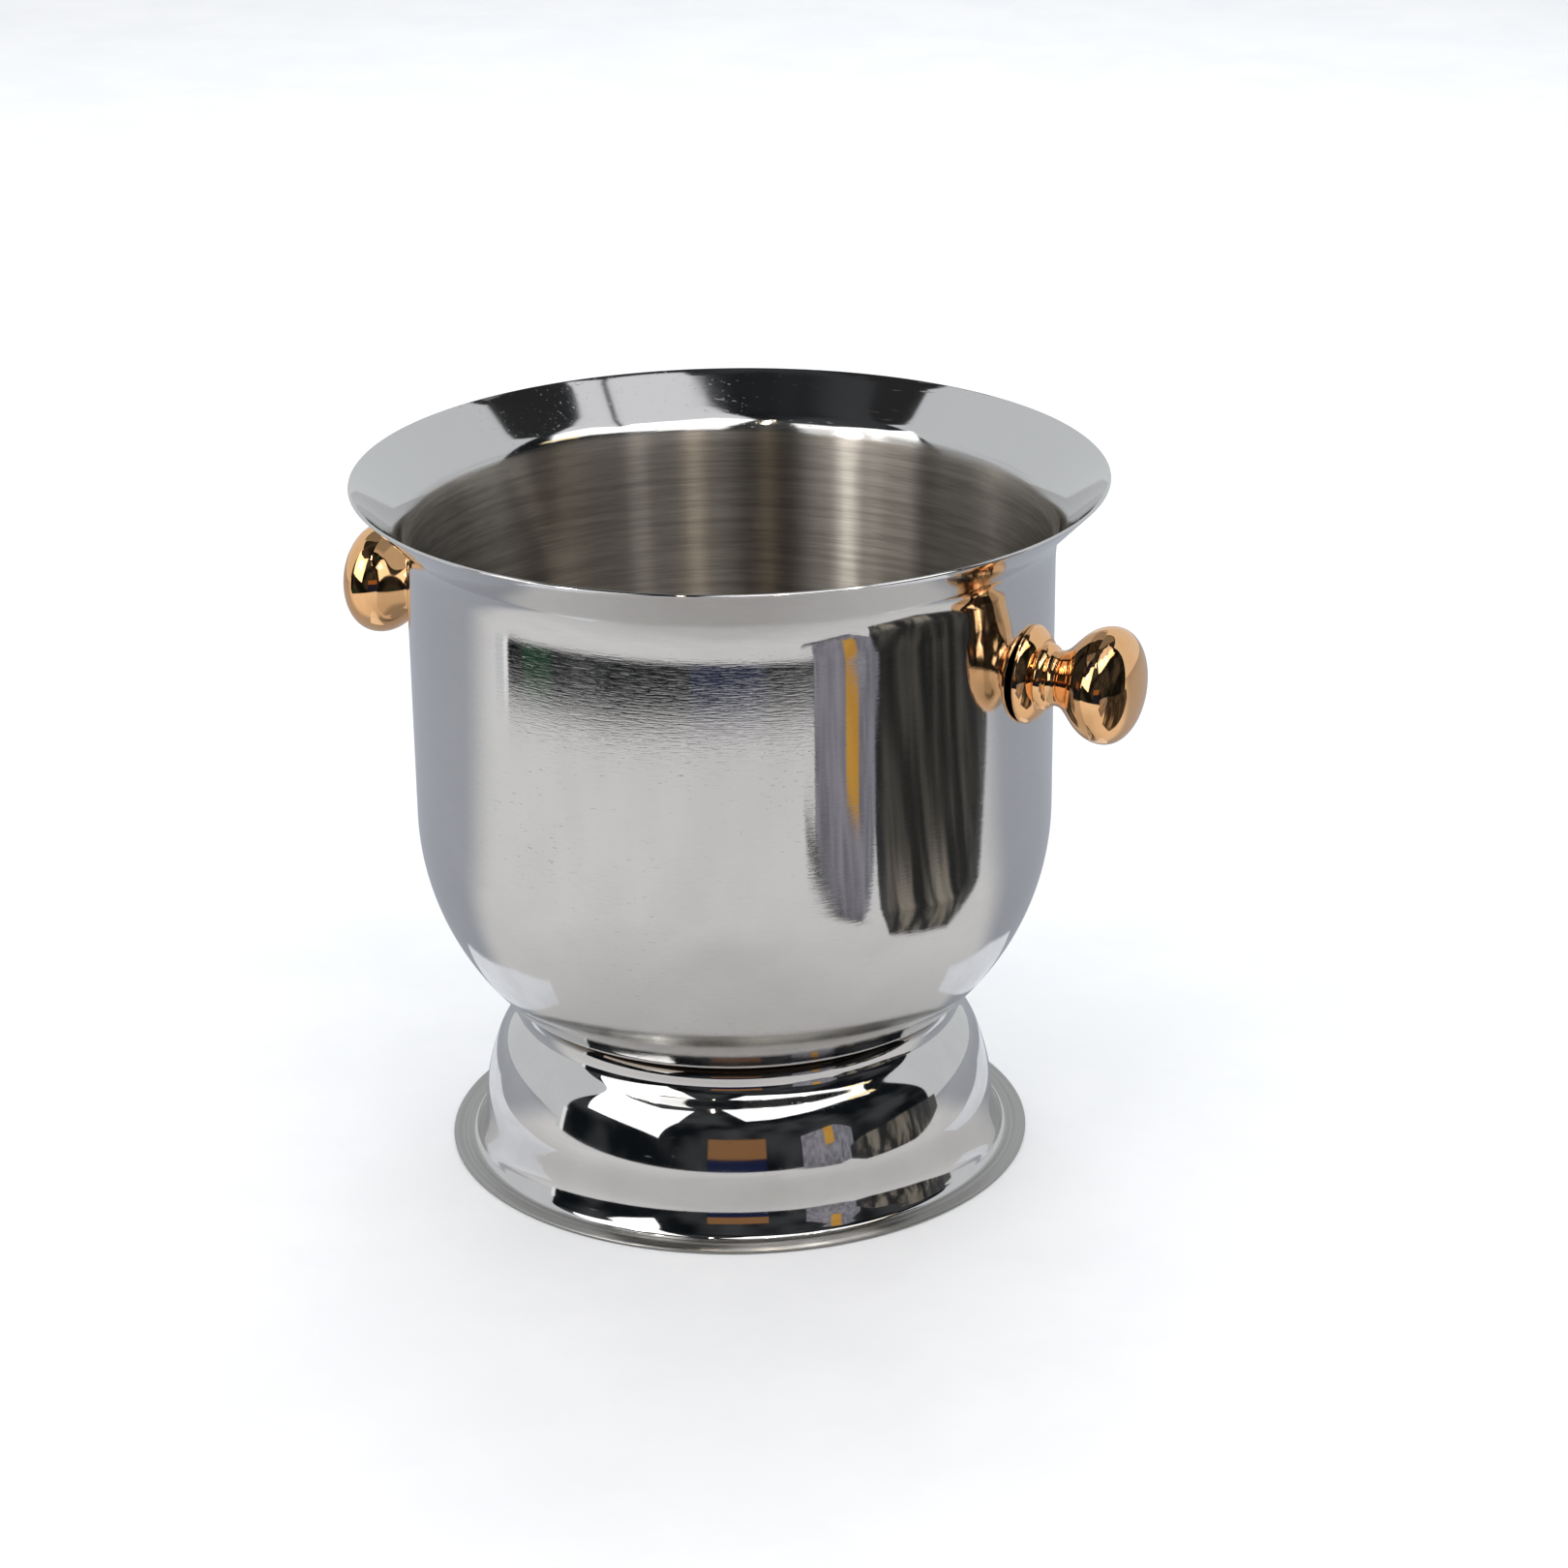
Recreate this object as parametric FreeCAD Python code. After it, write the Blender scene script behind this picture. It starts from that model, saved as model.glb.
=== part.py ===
import FreeCAD, Part
import math
import os

# Footed champagne bucket: a spun steel bowl on a hollow spun foot, with two fixed copper-coloured
# side knobs. Millimetres, +Z up, origin on the table at the centre of the foot, knobs along X.

V = FreeCAD.Vector

# ---- driving dimensions -------------------------------------------------------------------------
t = 0.9                 # sheet thickness of bowl and foot

# bowl
lip_r = 109.9           # outer edge of the flared rim
wall_top_r = 94.25      # outside radius where the flare starts
wall_top_z = 180.8
wall_low_r = 94.0       # outside radius where the lower curve starts
wall_low_z = 106.5
lead_rad = 70.0         # gentle start of the flare
lead_deg = 5.0
flare_rad = 14.32       # tighter bend up to the straight flare
flare_deg = 45.0        # slope of the flared rim
belly_rad = 77.2        # long curve of the lower body
belly_deg = 40.5        # slope reached at the end of the long curve
turn_rad = 13.9         # tighter turn into the flat base
base_z = 48.4           # underside of the bowl's flat base
edge_round = 0.3        # softened lip edge

# foot
flange_r = 87.3
flange_t = 0.9
cove_in_r = 81.8        # where the flat flange meets the cove
neck_top_z = 48.4
web_t = 1.0             # flat top of the foot that the bowl sits on
# outside curve of the foot, from the cove above the flange up to the neck (radius, height)
foot_curve = [(79.38, 3.1), (77.54, 8.2), (76.77, 13.0), (76.29, 17.8), (75.07, 23.4), (73.61, 28.2),
              (71.6, 33.0), (68.25, 37.2), (65.35, 40.4), (64.7, 42.4), (64.6, 43.8)]
cove_tan = (-0.452, 0.892)   # direction of the curve where it leaves the cove
neck_tan = (0.0, 1.0)      # direction of the curve at the top of the neck
shoulder_rad = 4.6         # rounding between the neck and the flat top
bead_r = 82.6              # fine raised ring pressed into the flange
bead_h = 0.22
bead_w = 1.0

# foot fixing (M8)
stud_r = 3.95
stud_hole_r = 4.3
stud_low_z = 34.5
clamp_washer_r = 24.0
clamp_washer_t = 2.0
nut_af = 13.0
nut_h = 6.5
nut_bore_r = 4.0

# knobs
knob_z = 159.6
knob_back = 94.3        # distance of the flat back of a knob from the bucket's axis
knob_len = 33.4
flange_k_r = 14.25
flange_k_edge = 0.9
groove_r = 9.75
head_r = 16.8
neck_k_r = 8.0
tap_r = 2.5             # M5 blind hole in the back of the knob
tap_depth = 13.0
wall_hole_r = 2.75

# knob fixing inside the wall
screw_r = 2.45
screw_in = 12.0         # how far the screw reaches into the knob
screw_head_r = 4.6
screw_head_h = 2.7
socket_af = 3.0
socket_depth = 1.6
seal_r = 6.5
seal_out = 93.22        # curved outer face of the rubber seal
seal_in = 92.4
washer_r = 6.0
washer_flat = 91.4      # flat face that the screw head sits on


def P(r, z):
    return V(r, 0, z)


def line(a, b):
    return Part.makeLine(a, b)


def arc(cr, cz, rad, a0, a1):
    """Arc in the XZ plane about (cr, cz) through three points, angles in degrees."""
    pts = [P(cr + rad * math.cos(math.radians(a)), cz + rad * math.sin(math.radians(a)))
           for a in (a0, (a0 + a1) / 2.0, a1)]
    return Part.Arc(*pts).toShape()


def spline(pts, t0, t1):
    c = Part.BSplineCurve()
    c.interpolate(Points=[P(*p) for p in pts], InitialTangent=V(t0[0], 0, t0[1]), FinalTangent=V(t1[0], 0, t1[1]))
    return c


def spin(edges, origin=V(0, 0, 0), axis=V(0, 0, 1)):
    face = Part.Face(Part.Wire(Part.__sortEdges__(edges)))
    solid = face.revolve(origin, axis, 360)
    if solid.ShapeType != "Solid":
        solid = Part.Solid(solid.Shells[0])
    if solid.Volume < 0:
        solid.reverse()
    return solid


# ---- bowl ---------------------------------------------------------------------------------------
def bowl_side(off):
    """Outline from the axis to the lip, moved inward by off; returns edges, first and last point."""
    b = math.radians(belly_deg)
    f = math.radians(flare_deg)
    bc = (wall_low_r - belly_rad, wall_low_z)                      # centre of the long curve
    e1 = (bc[0] + belly_rad * math.cos(b), bc[1] - belly_rad * math.sin(b))
    # straight cone between the two curves, ending where the small turn lands on the base plane
    drop = e1[1] - (base_z + turn_rad * (1 - math.sin(b)))
    e2 = (e1[0] - drop * math.tan(b), e1[1] - drop)
    tc = (e2[0] - turn_rad * math.cos(b), e2[1] + turn_rad * math.sin(b))
    g = math.radians(lead_deg)
    lc = (wall_top_r + lead_rad, wall_top_z)                       # centre of the gentle start
    l1 = (lc[0] - lead_rad * math.cos(g), lc[1] + lead_rad * math.sin(g))
    fc = (l1[0] + flare_rad * math.cos(g), l1[1] - flare_rad * math.sin(g))   # centre of the tighter bend
    f1 = (fc[0] - flare_rad * math.cos(f), fc[1] + flare_rad * math.sin(f))
    run = lip_r - f1[0]
    f2 = (lip_r, f1[1] + run * math.tan(math.pi / 2 - f))
    nb = (-math.cos(b) * off, math.sin(b) * off)
    nf = (-math.sin(math.pi / 2 - f) * off, math.cos(math.pi / 2 - f) * off)
    edges = []
    start = P(0, base_z + off)
    a = P(tc[0], base_z + off)
    edges.append(line(start, a))
    edges.append(arc(tc[0], tc[1], turn_rad - off, -90, -belly_deg))
    edges.append(line(P(e2[0] + nb[0], e2[1] + nb[1]), P(e1[0] + nb[0], e1[1] + nb[1])))
    edges.append(arc(bc[0], bc[1], belly_rad - off, -belly_deg, 0))
    edges.append(line(P(wall_low_r - off, wall_low_z), P(wall_top_r - off, wall_top_z)))
    edges.append(arc(lc[0], lc[1], lead_rad + off, 180, 180 - lead_deg))
    edges.append(arc(fc[0], fc[1], flare_rad + off, 180 - lead_deg, 180 - flare_deg))
    end = P(f2[0] + nf[0], f2[1] + nf[1])
    edges.append(line(P(f1[0] + nf[0], f1[1] + nf[1]), end))
    return edges, start, end


outer, o0, o1 = bowl_side(0.0)
inner, i0, i1 = bowl_side(t)
bowl = spin(outer + inner + [line(o0, i0), line(o1, i1)])
lip_edges = [e for e in bowl.Edges if isinstance(e.Curve, Part.Circle)
             and (abs(e.Curve.Radius - o1.x) < 1e-4 or abs(e.Curve.Radius - i1.x) < 1e-4)]
bowl = bowl.makeFillet(edge_round, lip_edges)
for side in (1, -1):
    hole = Part.makeCylinder(wall_hole_r, 30, V(side * 80, 0, knob_z), V(side, 0, 0))
    bowl = bowl.cut(hole)

# ---- foot ---------------------------------------------------------------------------------------
def inward(curve, off, n=14):
    """Points of the curve moved off towards the bucket's axis side, for the hidden inner face."""
    u0, u1 = curve.FirstParameter, curve.LastParameter
    out = []
    for i in range(n + 1):
        u = u0 + (u1 - u0) * i / n
        q = curve.value(u)
        d = curve.tangent(u)[0]
        out.append((q.x - d.z * off, q.z + d.x * off))
    return out


side = spline(foot_curve, cove_tan, neck_tan)
in_pts = inward(side, t)
inner_side = spline(in_pts, cove_tan, neck_tan)
s0 = side.value(side.FirstParameter)
s1 = side.value(side.LastParameter)
# cove: a short quarter-like curve from the flat flange up into the side
cove = Part.BSplineCurve()
cove.interpolate(Points=[P(cove_in_r, flange_t), P(80.34, 1.45), P(s0.x, s0.z)],
                 InitialTangent=V(-1, 0, 0), FinalTangent=V(cove_tan[0], 0, cove_tan[1]))
top_corner = P(s1.x - shoulder_rad, neck_top_z)
shoulder = arc(s1.x - shoulder_rad, s1.z, shoulder_rad, 0, 90)
ip0, ip1 = in_pts[0], in_pts[-1]
in_rad = neck_top_z - web_t - ip1[1]
edge_mid = P(flange_r, flange_t / 2.0)
outline = [
    line(P(cove_in_r, flange_t), P(bead_r - bead_w / 2, flange_t)),
    Part.Arc(P(bead_r - bead_w / 2, flange_t), P(bead_r, flange_t + bead_h), P(bead_r + bead_w / 2, flange_t)).toShape(),
    line(P(bead_r + bead_w / 2, flange_t), P(flange_r - 0.45, flange_t)),
    Part.Arc(P(flange_r - 0.45, flange_t), edge_mid, P(flange_r - 0.45, 0)).toShape(),
    line(P(flange_r - 0.45, 0), P(80.4, 0)),
    line(P(80.4, 0), P(ip0[0], ip0[1])),
    inner_side.toShape(),
    arc(ip1[0] - in_rad, ip1[1], in_rad, 0, 90),
    line(P(ip1[0] - in_rad, neck_top_z - web_t), P(stud_hole_r, neck_top_z - web_t)),
    line(P(stud_hole_r, neck_top_z - web_t), P(stud_hole_r, neck_top_z)),
    line(P(stud_hole_r, neck_top_z), top_corner),
    shoulder,
    side.toShape(),
    cove.toShape(),
]
foot = spin(outline)

# ---- foot fixing --------------------------------------------------------------------------------
stud = Part.makeCylinder(stud_r, base_z - stud_low_z, V(0, 0, stud_low_z))
stud = stud.makeChamfer(0.6, [e for e in stud.Edges if abs(e.BoundBox.ZMax - stud_low_z) < 1e-6])
web_low = neck_top_z - web_t
washer = Part.makeCylinder(clamp_washer_r, clamp_washer_t, V(0, 0, web_low - clamp_washer_t))
washer = washer.cut(Part.makeCylinder(stud_hole_r, 10, V(0, 0, web_low - 6)))
washer = washer.makeChamfer(0.4, [e for e in washer.Edges if isinstance(e.Curve, Part.Circle)
                                  and e.Curve.Radius > 20])


def hexagon(af, h, centre, direction):
    c = af / math.sqrt(3)
    pts = [V(c * math.cos(math.radians(60 * k)), c * math.sin(math.radians(60 * k)), 0) for k in range(7)]
    prism = Part.Face(Part.makePolygon(pts)).extrude(V(0, 0, h))
    prism.Placement = FreeCAD.Placement(centre, FreeCAD.Rotation(V(0, 0, 1), direction))
    return prism


nut_top = web_low - clamp_washer_t
nut = hexagon(nut_af, nut_h, V(0, 0, nut_top - nut_h), V(0, 0, 1))
nut = nut.common(Part.makeCone(nut_af / 2 + 0.1, nut_af / 2 + nut_h * 1.7, nut_h, V(0, 0, nut_top - nut_h)))
nut = nut.cut(Part.makeCylinder(nut_bore_r, 20, V(0, 0, nut_top - 12)))

# ---- knob (built on +X, then turned round for the other side) --------------------------------------
def K(s, r):
    return V(knob_back + s, 0, knob_z + r)


head = Part.BSplineCurve()
head.interpolate(Points=[K(7.6, 8.15), K(8.9, neck_k_r), K(10.6, 8.35), K(12.8, 9.9), K(15.0, 12.15), K(17.4, 14.4),
                         K(20.2, 16.05), K(23.6, head_r), K(26.8, 16.2), K(29.4, 14.2), K(31.6, 10.6),
                         K(32.9, 6.0), K(knob_len, 0)],
                 InitialTangent=V(1, 0, -0.25), FinalTangent=V(0, 0, -1))
dome = Part.Arc(K(flange_k_edge, flange_k_r), K(3.1, 12.6), K(4.6, 10.5)).toShape()
bead = Part.Arc(K(5.0, groove_r), K(6.4, 9.35), K(7.6, 8.15)).toShape()
knob_outline = [
    line(K(0, tap_r), K(0.0, flange_k_r - 0.25)),
    Part.Arc(K(0.0, flange_k_r - 0.25), K(0.08, flange_k_r - 0.07), K(0.25, flange_k_r)).toShape(),
    line(K(0.25, flange_k_r), K(flange_k_edge, flange_k_r)),
    dome,
    line(K(4.6, 10.5), K(4.75, groove_r)),
    line(K(4.75, groove_r), K(5.0, groove_r)),
    bead,
    head.toShape(),
    line(K(knob_len, 0), K(tap_depth + 1.4, 0)),
    line(K(tap_depth + 1.4, 0), K(tap_depth, tap_r)),
    line(K(tap_depth, tap_r), K(0, tap_r)),
]
knob = spin(knob_outline, V(0, 0, knob_z), V(1, 0, 0))

# ---- knob fixing --------------------------------------------------------------------------------
X = V(1, 0, 0)
seat = V(washer_flat, 0, knob_z)
screw = Part.makeCylinder(screw_r, knob_back + screw_in - washer_flat, seat, X)
screw_head = Part.makeCylinder(screw_head_r, screw_head_h, seat - X * screw_head_h, X)
screw_head = screw_head.makeFillet(1.2, [e for e in screw_head.Edges
                                         if abs(e.BoundBox.XMax - (washer_flat - screw_head_h)) < 1e-6])
screw = screw.fuse(screw_head).removeSplitter()
screw = screw.cut(hexagon(socket_af, socket_depth, seat - X * screw_head_h, X))


def ring_on_wall(radius, hole, r_in, r_out, flat_at):
    """Ring about the screw whose outer face follows the bucket's round wall."""
    body = Part.makeCylinder(radius, 6, V(seal_out - 5.0, 0, knob_z), X)
    body = body.common(Part.makeCylinder(r_out, 40, V(0, 0, knob_z - 20)))
    if flat_at is None:
        body = body.cut(Part.makeCylinder(r_in, 40, V(0, 0, knob_z - 20)))
    else:
        body = body.cut(Part.makeBox(40, 40, 40, V(flat_at - 40, -20, knob_z - 20)))
    return body.cut(Part.makeCylinder(hole, 20, V(seal_out - 10, 0, knob_z), X))


seal = ring_on_wall(seal_r, screw_r + 0.1, seal_in, seal_out, None)
wall_washer = ring_on_wall(washer_r, screw_r + 0.15, None, seal_in, washer_flat)


def turned(shape):
    s = shape.copy()
    s.rotate(V(0, 0, 0), V(0, 0, 1), 180)
    return s


nodes = {
    "bowl": bowl,
    "foot": foot,
    "foot_stud": stud,
    "foot_washer": washer,
    "foot_nut": nut,
    "knob_right": knob,
    "knob_left": turned(knob),
    "knob_screw_right": screw,
    "knob_screw_left": turned(screw),
    "knob_washer_right": wall_washer,
    "knob_washer_left": turned(wall_washer),
    "knob_seal_right": seal,
    "knob_seal_left": turned(seal),
}

os.makedirs("parts", exist_ok=True)
for name, shape in nodes.items():
    if shape.ShapeType != "Solid" and len(shape.Solids) == 1:
        shape = shape.Solids[0]
    shape.exportStep("parts/" + name + ".step")
    bb = shape.BoundBox
    print(name, shape.ShapeType, shape.isValid(), len(shape.Solids), round(shape.Volume, 1),
          [round(v, 2) for v in (bb.XMin, bb.XMax, bb.YMin, bb.YMax, bb.ZMin, bb.ZMax)])
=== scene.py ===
"""Looks, light and camera for the footed champagne bucket. Metres, +Z up, knobs along X."""
import math

import bmesh
import bpy
import numpy as np
from mathutils import Matrix, Vector


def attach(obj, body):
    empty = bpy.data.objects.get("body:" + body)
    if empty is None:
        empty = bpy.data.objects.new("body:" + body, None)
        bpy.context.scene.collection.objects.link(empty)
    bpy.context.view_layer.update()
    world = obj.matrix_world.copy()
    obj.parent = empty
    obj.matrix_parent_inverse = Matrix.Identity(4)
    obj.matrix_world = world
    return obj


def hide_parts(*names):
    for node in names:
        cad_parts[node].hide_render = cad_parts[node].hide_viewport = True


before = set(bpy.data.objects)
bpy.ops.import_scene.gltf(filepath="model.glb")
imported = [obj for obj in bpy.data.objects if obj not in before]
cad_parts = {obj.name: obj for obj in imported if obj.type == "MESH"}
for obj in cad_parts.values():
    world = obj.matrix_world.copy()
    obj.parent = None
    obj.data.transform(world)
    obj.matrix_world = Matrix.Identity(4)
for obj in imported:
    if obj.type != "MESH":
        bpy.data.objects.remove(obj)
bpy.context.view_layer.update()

MM = 0.001

# ---- profile of the object, millimetres ----------------------------------------------------------
SHEET = 0.9
BASE_Z = 48.4
LIP_R = 109.9
WALL_TOP = (94.25, 180.8)
WALL_LOW = (94.0, 106.5)
LEAD_RAD, LEAD_DEG = 70.0, 5.0
FLARE_RAD, FLARE_DEG = 14.32, 45.0
BELLY_RAD, BELLY_DEG = 77.2, 40.5
TURN_RAD = 13.9
KNOB_Z, KNOB_BACK, KNOB_LEN = 159.6, 94.3, 33.4
LIP_ROUND = 0.28                   # softened edge of the lip
SHELL_STEPS, KNOB_STEPS = 384, 160  # facets around the bowl and foot, and around a knob


def arc(cx, cy, rad, a0, a1, n):
    """Points on an arc, angles in degrees, both ends included."""
    return [(cx + rad * math.cos(math.radians(a0 + (a1 - a0) * i / n)),
             cy + rad * math.sin(math.radians(a0 + (a1 - a0) * i / n))) for i in range(n + 1)]


def straight(a, b, n):
    """Points on a straight line, both ends included."""
    return [(a[0] + (b[0] - a[0]) * i / n, a[1] + (b[1] - a[1]) * i / n) for i in range(n + 1)]


def spline(pts, t0, t1, per=5):
    """Clamped cubic spline through pts by chord length, sampled per times in each span."""
    p = np.array(pts, float)
    h = np.linalg.norm(np.diff(p, axis=0), axis=1)
    n = len(p)
    a = np.zeros((n, n))
    b = np.zeros((n, 2))
    t0 = np.array(t0, float) / np.linalg.norm(t0)
    t1 = np.array(t1, float) / np.linalg.norm(t1)
    a[0, 0] = a[-1, -1] = 1.0
    b[0], b[-1] = t0, t1
    for i in range(1, n - 1):
        a[i, i - 1], a[i, i], a[i, i + 1] = h[i], 2 * (h[i - 1] + h[i]), h[i - 1]
        b[i] = 3 * (h[i] / h[i - 1] * (p[i] - p[i - 1]) + h[i - 1] / h[i] * (p[i + 1] - p[i]))
    d = np.linalg.solve(a, b)
    out = []
    for i in range(n - 1):
        for k in range(per):
            s = k / per
            h00, h10 = 2 * s ** 3 - 3 * s ** 2 + 1, s ** 3 - 2 * s ** 2 + s
            h01, h11 = -2 * s ** 3 + 3 * s ** 2, s ** 3 - s ** 2
            out.append(tuple(h00 * p[i] + h10 * h[i] * d[i] + h01 * p[i + 1] + h11 * h[i] * d[i + 1]))
    out.append(tuple(p[-1]))
    return out


def joined(*runs):
    """One run of points with doubled ends dropped."""
    out = []
    for run in runs:
        for q in run:
            if not out or math.dist(q, out[-1]) > 1e-4:
                out.append((float(q[0]), float(q[1])))
    return out


def rounded(pts, corners, rad, n=4):
    """Softens the corners at the listed points with small arcs."""
    out = []
    m = len(pts)
    for i, q in enumerate(pts):
        if not any(math.dist(q, c) < 1e-3 for c in corners):
            out.append(q)
            continue
        a, b = np.array(pts[i - 1]), np.array(pts[(i + 1) % m])
        c = np.array(q)
        u, v = (a - c) / np.linalg.norm(a - c), (b - c) / np.linalg.norm(b - c)
        s, e = c + u * rad, c + v * rad
        for k in range(n + 1):
            w = k / n
            out.append(tuple((1 - w) ** 2 * s + 2 * w * (1 - w) * c + w * w * e))
    return out


def bowl_side(off):
    """Bowl outline from the axis to the lip, moved inward by off."""
    b, f = math.radians(BELLY_DEG), math.radians(FLARE_DEG)
    bc = (WALL_LOW[0] - BELLY_RAD, WALL_LOW[1])
    e1 = (bc[0] + BELLY_RAD * math.cos(b), bc[1] - BELLY_RAD * math.sin(b))
    drop = e1[1] - (BASE_Z + TURN_RAD * (1 - math.sin(b)))
    e2 = (e1[0] - drop * math.tan(b), e1[1] - drop)
    tc = (e2[0] - TURN_RAD * math.cos(b), e2[1] + TURN_RAD * math.sin(b))
    g = math.radians(LEAD_DEG)
    lc = (WALL_TOP[0] + LEAD_RAD, WALL_TOP[1])
    l1 = (lc[0] - LEAD_RAD * math.cos(g), lc[1] + LEAD_RAD * math.sin(g))
    fc = (l1[0] + FLARE_RAD * math.cos(g), l1[1] - FLARE_RAD * math.sin(g))
    f1 = (fc[0] - FLARE_RAD * math.cos(f), fc[1] + FLARE_RAD * math.sin(f))
    run = LIP_R - f1[0]
    nb = (-math.cos(b) * off, math.sin(b) * off)
    nf = (-math.sin(math.pi / 2 - f) * off, math.cos(math.pi / 2 - f) * off)
    floor = [(0.02 + tc[0] * k / 6, BASE_Z + off) for k in range(6)]
    return joined(
        floor,
        arc(tc[0], tc[1], TURN_RAD - off, -90, -BELLY_DEG, 14),
        straight((e2[0] + nb[0], e2[1] + nb[1]), (e1[0] + nb[0], e1[1] + nb[1]), 3),
        arc(bc[0], bc[1], BELLY_RAD - off, -BELLY_DEG, 0, 26),
        straight((WALL_LOW[0] - off, WALL_LOW[1]), (WALL_TOP[0] - off, WALL_TOP[1]), 8),
        arc(lc[0], lc[1], LEAD_RAD + off, 180, 180 - LEAD_DEG, 4),
        arc(fc[0], fc[1], FLARE_RAD + off, 180 - LEAD_DEG, 180 - FLARE_DEG, 16),
        straight((f1[0] + nf[0], f1[1] + nf[1]), (LIP_R + nf[0], f1[1] + run / math.tan(f) + nf[1]), 6),
    )


def lathe(name, pts, segs, closed=True, centre=(0.0, 0.0, 0.0), along_x=False, inside_from=None):
    """Surface of revolution of a closed outline given as (radius, height) in millimetres."""
    p = np.array(pts, float)
    n = len(p)
    ang = np.linspace(0, 2 * math.pi, segs, endpoint=False)
    c, s = np.cos(ang), np.sin(ang)
    r, h = p[:, 0][:, None], p[:, 1][:, None]
    if along_x:
        co = np.stack([np.repeat(h, segs, 1), r * c, r * s], -1)
    else:
        co = np.stack([r * c, r * s, np.repeat(h, segs, 1)], -1)
    co = (co.reshape(-1, 3) + np.array(centre)) * MM
    i = np.arange(n if closed else n - 1)[:, None]
    j = np.arange(segs)[None, :]
    i2, j2 = (i + 1) % n, (j + 1) % segs
    faces = np.stack([np.broadcast_to(i * segs + j, (len(i), segs)), i * segs + j2,
                      i2 * segs + j2, i2 * segs + j], -1).reshape(-1, 4)
    if along_x:
        faces = faces[:, ::-1]
    mesh = bpy.data.meshes.new(name)
    mesh.from_pydata(co.tolist(), [], faces.tolist())
    mesh.polygons.foreach_set("use_smooth", [True] * len(mesh.polygons))
    if inside_from is not None:
        flag = np.repeat((np.arange(n) >= inside_from).astype(float), segs)
        at = mesh.attributes.new("inside", "FLOAT", "POINT")
        at.data.foreach_set("value", flag)
    mesh.update()
    obj = bpy.data.objects.new(name, mesh)
    bpy.context.scene.collection.objects.link(obj)
    return obj


def outward(obj):
    """Joins doubled points and turns every face outward."""
    bm = bmesh.new()
    bm.from_mesh(obj.data)
    bmesh.ops.remove_doubles(bm, verts=bm.verts, dist=1e-7)
    bmesh.ops.recalc_face_normals(bm, faces=bm.faces)
    bm.to_mesh(obj.data)
    bm.free()
    return obj


# ---- bowl ----------------------------------------------------------------------------------------
outer_side = bowl_side(0.0)
inner_side = bowl_side(SHEET)
lip_out, lip_in = outer_side[-1], inner_side[-1]
bowl_pts = rounded(outer_side + inner_side[::-1], [lip_out, lip_in], LIP_ROUND)
inside_at = next(i for i, q in enumerate(bowl_pts) if math.dist(q, lip_out) < 0.6) + 3
bowl = outward(lathe("bowl_shell", bowl_pts, SHELL_STEPS, closed=False, inside_from=inside_at))

# ---- foot ----------------------------------------------------------------------------------------
# outside curve from the cove above the flange up to the neck (radius, height)
FOOT_CURVE = [(79.38, 3.1), (77.54, 8.2), (76.77, 13.0), (76.29, 17.8), (75.07, 23.4), (73.61, 28.2),
              (71.6, 33.0), (68.25, 37.2), (65.35, 40.4), (64.7, 42.4), (64.6, 43.8)]
COVE_TAN, NECK_TAN = (-0.452, 0.892), (0.0, 1.0)
FLANGE_R, FLANGE_T, COVE_R = 87.3, 0.9, 81.8
SHOULDER_AT, SHOULDER_RAD = (60.0, 43.8), 4.6
SHOULDER_IN_AT, SHOULDER_IN_RAD = (60.1, 43.8), 3.6
WEB_UNDER_Z, WEB_EDGE_R, WEB_MID_R, HOLE_R = 47.4, 59.6, 20, 4.3   # flat top under the bowl
RIDGE = [(82.1, 0.9), (82.3, 1.04), (82.6, 1.12), (82.9, 1.04), (83.1, 0.9)]   # fine ring on the flange
UNDERSIDE = [(86.0, 0.0), (81.2, 0.0), (80.5, 0.02)]

skirt = joined(spline(FOOT_CURVE, COVE_TAN, NECK_TAN, 6))
cove = spline([(COVE_R, FLANGE_T), (80.34, 1.45), FOOT_CURVE[0]], (-1, 0), COVE_TAN, 6)
edge = arc(FLANGE_R - 0.45, FLANGE_T / 2, FLANGE_T / 2, 90, -90, 8)
inner_skirt = []
for k, q in enumerate(skirt):
    a, b = skirt[max(k - 1, 0)], skirt[min(k + 1, len(skirt) - 1)]
    d = np.array(b) - np.array(a)
    d = d / np.linalg.norm(d)
    inner_skirt.append((q[0] - d[1] * SHEET, q[1] + d[0] * SHEET))
foot_pts = joined(
    [(HOLE_R, BASE_Z)], straight((WEB_MID_R, BASE_Z), (WEB_EDGE_R, BASE_Z), 3),
    arc(*SHOULDER_AT, SHOULDER_RAD, 90, 4, 14), skirt[::-1], cove[::-1][1:],
    RIDGE, [(83.6, FLANGE_T), (85.5, FLANGE_T)], edge, UNDERSIDE,
    inner_skirt, arc(*SHOULDER_IN_AT, SHOULDER_IN_RAD, 8, 90, 8),
    straight((WEB_EDGE_R, WEB_UNDER_Z), (WEB_MID_R, WEB_UNDER_Z), 3), [(HOLE_R, WEB_UNDER_Z)])
foot = outward(lathe("foot_shell", foot_pts, SHELL_STEPS))

# ---- knobs ---------------------------------------------------------------------------------------
# outlines are given as radius and distance from the knob's flat back
HEAD = [(8.15, 7.6), (8.0, 8.9), (8.35, 10.6), (9.9, 12.8), (12.15, 15.0), (14.4, 17.4), (16.05, 20.2),
        (16.8, 23.6), (16.2, 26.8), (14.2, 29.4), (10.6, 31.6), (6.0, 32.9), (0.0, KNOB_LEN)]
BACK_EDGE = [(2.5, 0.0), (13.9, 0.0), (14.1, 0.05), (14.22, 0.16), (14.25, 0.3), (14.25, 0.75)]
GROOVE = [(10.0, 4.68), (9.8, 4.72), (9.75, 4.8)]
TIP_R = 0.004


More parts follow.
